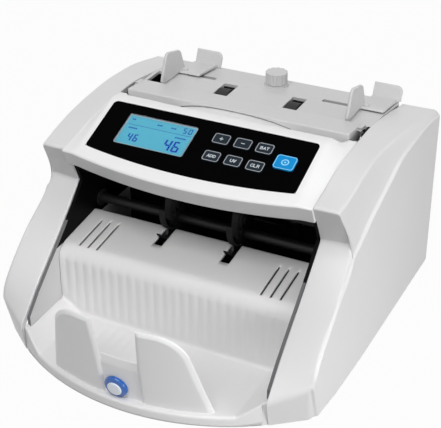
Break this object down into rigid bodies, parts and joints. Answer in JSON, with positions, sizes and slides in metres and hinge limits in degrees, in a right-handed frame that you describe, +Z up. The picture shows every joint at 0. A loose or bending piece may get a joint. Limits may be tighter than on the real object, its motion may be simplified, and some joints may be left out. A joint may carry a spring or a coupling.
{
  "type": "banknote counter",
  "caption": "Desktop banknote counting machine with a rear hopper, hinged feed cover, sloped keypad with display, and a front stacker bay behind a winged stop plate",
  "frame": {"origin": "On the table, under the middle of the machine's outline.", "axes": "X points to the right as seen by someone standing at the front, Y points to the back, Z up. The stacker bay and the keys face -Y."},
  "size_m": [0.267, 0.3008, 0.1731],
  "materials": {
    "shell_plastic": "fine-textured light grey moulding",
    "console_plastic": "smooth off-white moulding",
    "trim_plastic": "satin light grey moulding",
    "black_plastic": "dull black moulding",
    "panel_black": "gloss black overlay",
    "display_glass": "clear window over a blue back-lit display",
    "key_plastic": "dark slate key tops",
    "start_plastic": "bright blue",
    "rubber": "matt black rubber",
    "steel": "bright drawn steel",
    "zinc_sheet": "zinc-grey sheet",
    "frame_paint": "light grey paint, dull black inside above the stacker step",
    "bronze": "plain bearing metal and contacts",
    "board": "green circuit board",
    "core": "varnished laminated core",
    "lamp_glass": "clear lamp tube"
  },
  "bodies": {
    "housing": {"base_pan": "zinc_sheet", "rubber_feet": "rubber", "stacker_tray": "trim_plastic", "front_plate": "shell_plastic", "front_cap": "start_plastic", "left_cheek": "shell_plastic", "right_cheek": "shell_plastic", "left_frame": "frame_paint", "right_frame": "frame_paint", "tie_rods": "steel", "hopper_plate": "trim_plastic", "rear_cover": "shell_plastic", "bulkhead": "black_plastic", "upper_guide": "black_plastic", "console_shell": "console_plastic", "control_panel": "panel_black", "display_window": "display_glass", "display_module": "zinc_sheet", "key_board": "board", "shaft_bushes": "bronze", "drive_motor": "zinc_sheet", "motor_saddle": "zinc_sheet", "drive_belts": "rubber", "main_board": "board", "board_standoffs": "bronze", "transformer": "core", "power_inlet": "black_plastic", "inlet_pins": "bronze", "switch_frame": "black_plastic", "uv_lamp": "lamp_glass", "note_sensors": "black_plastic", "rear_sockets": "black_plastic", "case_screws": "steel"},
    "feed_cover": {"feed_cover": "trim_plastic", "retard_pads": "rubber"},
    "left_note_guide": {"left_note_guide": "trim_plastic"},
    "right_note_guide": {"right_note_guide": "trim_plastic"},
    "gap_knob": {"gap_knob": "black_plastic"},
    "power_switch": {"power_switch": "black_plastic"},
    "key_plus": {"key_plus": "key_plastic"},
    "key_minus": {"key_minus": "key_plastic"},
    "key_batch": {"key_batch": "key_plastic"},
    "key_add": {"key_add": "key_plastic"},
    "key_uv": {"key_uv": "key_plastic"},
    "key_clear": {"key_clear": "key_plastic"},
    "key_start": {"key_start": "start_plastic"},
    "feed_train": {"feed_shaft": "steel", "feed_rollers": "rubber", "feed_pulleys": "black_plastic"},
    "pickup_train": {"pickup_shaft": "steel", "pickup_rollers": "rubber", "pickup_pulley": "black_plastic"},
    "transport_train": {"transport_shaft": "steel", "transport_rollers": "rubber", "transport_pulleys": "black_plastic"},
    "pinch_rollers": {"pinch_rollers": "rubber"},
    "stacker_train": {"stacker_shaft": "steel", "finger_wheels": "black_plastic", "stacker_pulley": "black_plastic"},
    "motor_rotor": {"motor_rotor": "steel"}
  },
  "joints": [
    {"name": "feed_cover_hinge", "type": "hinge", "parent": "housing", "child": "feed_cover", "pos_m": [0, 0.0634, 0.146], "axis": [-1, 0, 0], "range_deg": [0, 60]},
    {"name": "left_guide_slide", "type": "slide", "parent": "housing", "child": "left_note_guide", "axis": [1, 0, 0], "range_m": [-0.008, 0.025]},
    {"name": "right_guide_slide", "type": "slide", "parent": "housing", "child": "right_note_guide", "axis": [1, 0, 0], "range_m": [-0.025, 0.008]},
    {"name": "gap_knob_turn", "type": "hinge", "parent": "housing", "child": "gap_knob", "pos_m": [0, 0.1204, 0.15], "axis": [0, 0, 1], "range_deg": [-150, 150]},
    {"name": "power_switch_rock", "type": "hinge", "parent": "housing", "child": "power_switch", "pos_m": [-0.026, 0.1334, 0.03], "axis": [-1, 0, 0], "range_deg": [0, 16]},
    {"name": "key_plus_press", "type": "slide", "parent": "housing", "child": "key_plus", "axis": [0, 0.3486, -0.9373], "range_m": [0, 0.0007], "stiffness_N_per_m": 400, "springref_m": -0.0005},
    {"name": "key_minus_press", "type": "slide", "parent": "housing", "child": "key_minus", "axis": [0, 0.3486, -0.9373], "range_m": [0, 0.0007], "stiffness_N_per_m": 400, "springref_m": -0.0005},
    {"name": "key_batch_press", "type": "slide", "parent": "housing", "child": "key_batch", "axis": [0, 0.3486, -0.9373], "range_m": [0, 0.0007], "stiffness_N_per_m": 400, "springref_m": -0.0005},
    {"name": "key_add_press", "type": "slide", "parent": "housing", "child": "key_add", "axis": [0, 0.3486, -0.9373], "range_m": [0, 0.0007], "stiffness_N_per_m": 400, "springref_m": -0.0005},
    {"name": "key_uv_press", "type": "slide", "parent": "housing", "child": "key_uv", "axis": [0, 0.3486, -0.9373], "range_m": [0, 0.0007], "stiffness_N_per_m": 400, "springref_m": -0.0005},
    {"name": "key_clear_press", "type": "slide", "parent": "housing", "child": "key_clear", "axis": [0, 0.3486, -0.9373], "range_m": [0, 0.0007], "stiffness_N_per_m": 400, "springref_m": -0.0005},
    {"name": "key_start_press", "type": "slide", "parent": "housing", "child": "key_start", "axis": [0, 0.3486, -0.9373], "range_m": [0, 0.0007], "stiffness_N_per_m": 400, "springref_m": -0.0005},
    {"name": "feed_spin", "type": "hinge", "parent": "housing", "child": "feed_train", "pos_m": [0, 0.0524, 0.128], "axis": [1, 0, 0], "continuous": true},
    {"name": "pickup_spin", "type": "hinge", "parent": "housing", "child": "pickup_train", "pos_m": [0, 0.0844, 0.1362], "axis": [1, 0, 0], "continuous": true},
    {"name": "transport_spin", "type": "hinge", "parent": "housing", "child": "transport_train", "pos_m": [0, 0.0284, 0.104], "axis": [1, 0, 0], "continuous": true},
    {"name": "pinch_spin", "type": "hinge", "parent": "housing", "child": "pinch_rollers", "pos_m": [0, 0.011, 0.104], "axis": [1, 0, 0], "continuous": true},
    {"name": "stacker_spin", "type": "hinge", "parent": "housing", "child": "stacker_train", "pos_m": [0, -0.0016, 0.078], "axis": [1, 0, 0], "continuous": true},
    {"name": "motor_spin", "type": "hinge", "parent": "housing", "child": "motor_rotor", "pos_m": [0, 0.0894, 0.04], "axis": [1, 0, 0], "continuous": true}
  ],
  "couplings": [
    {"joint": "motor_spin", "follows": "feed_spin", "ratio": 1.4286},
    {"joint": "pickup_spin", "follows": "feed_spin", "ratio": 1},
    {"joint": "transport_spin", "follows": "feed_spin", "ratio": 1.1429},
    {"joint": "stacker_spin", "follows": "feed_spin", "ratio": 0.4898},
    {"joint": "pinch_spin", "follows": "feed_spin", "ratio": -2.0952}
  ]
}
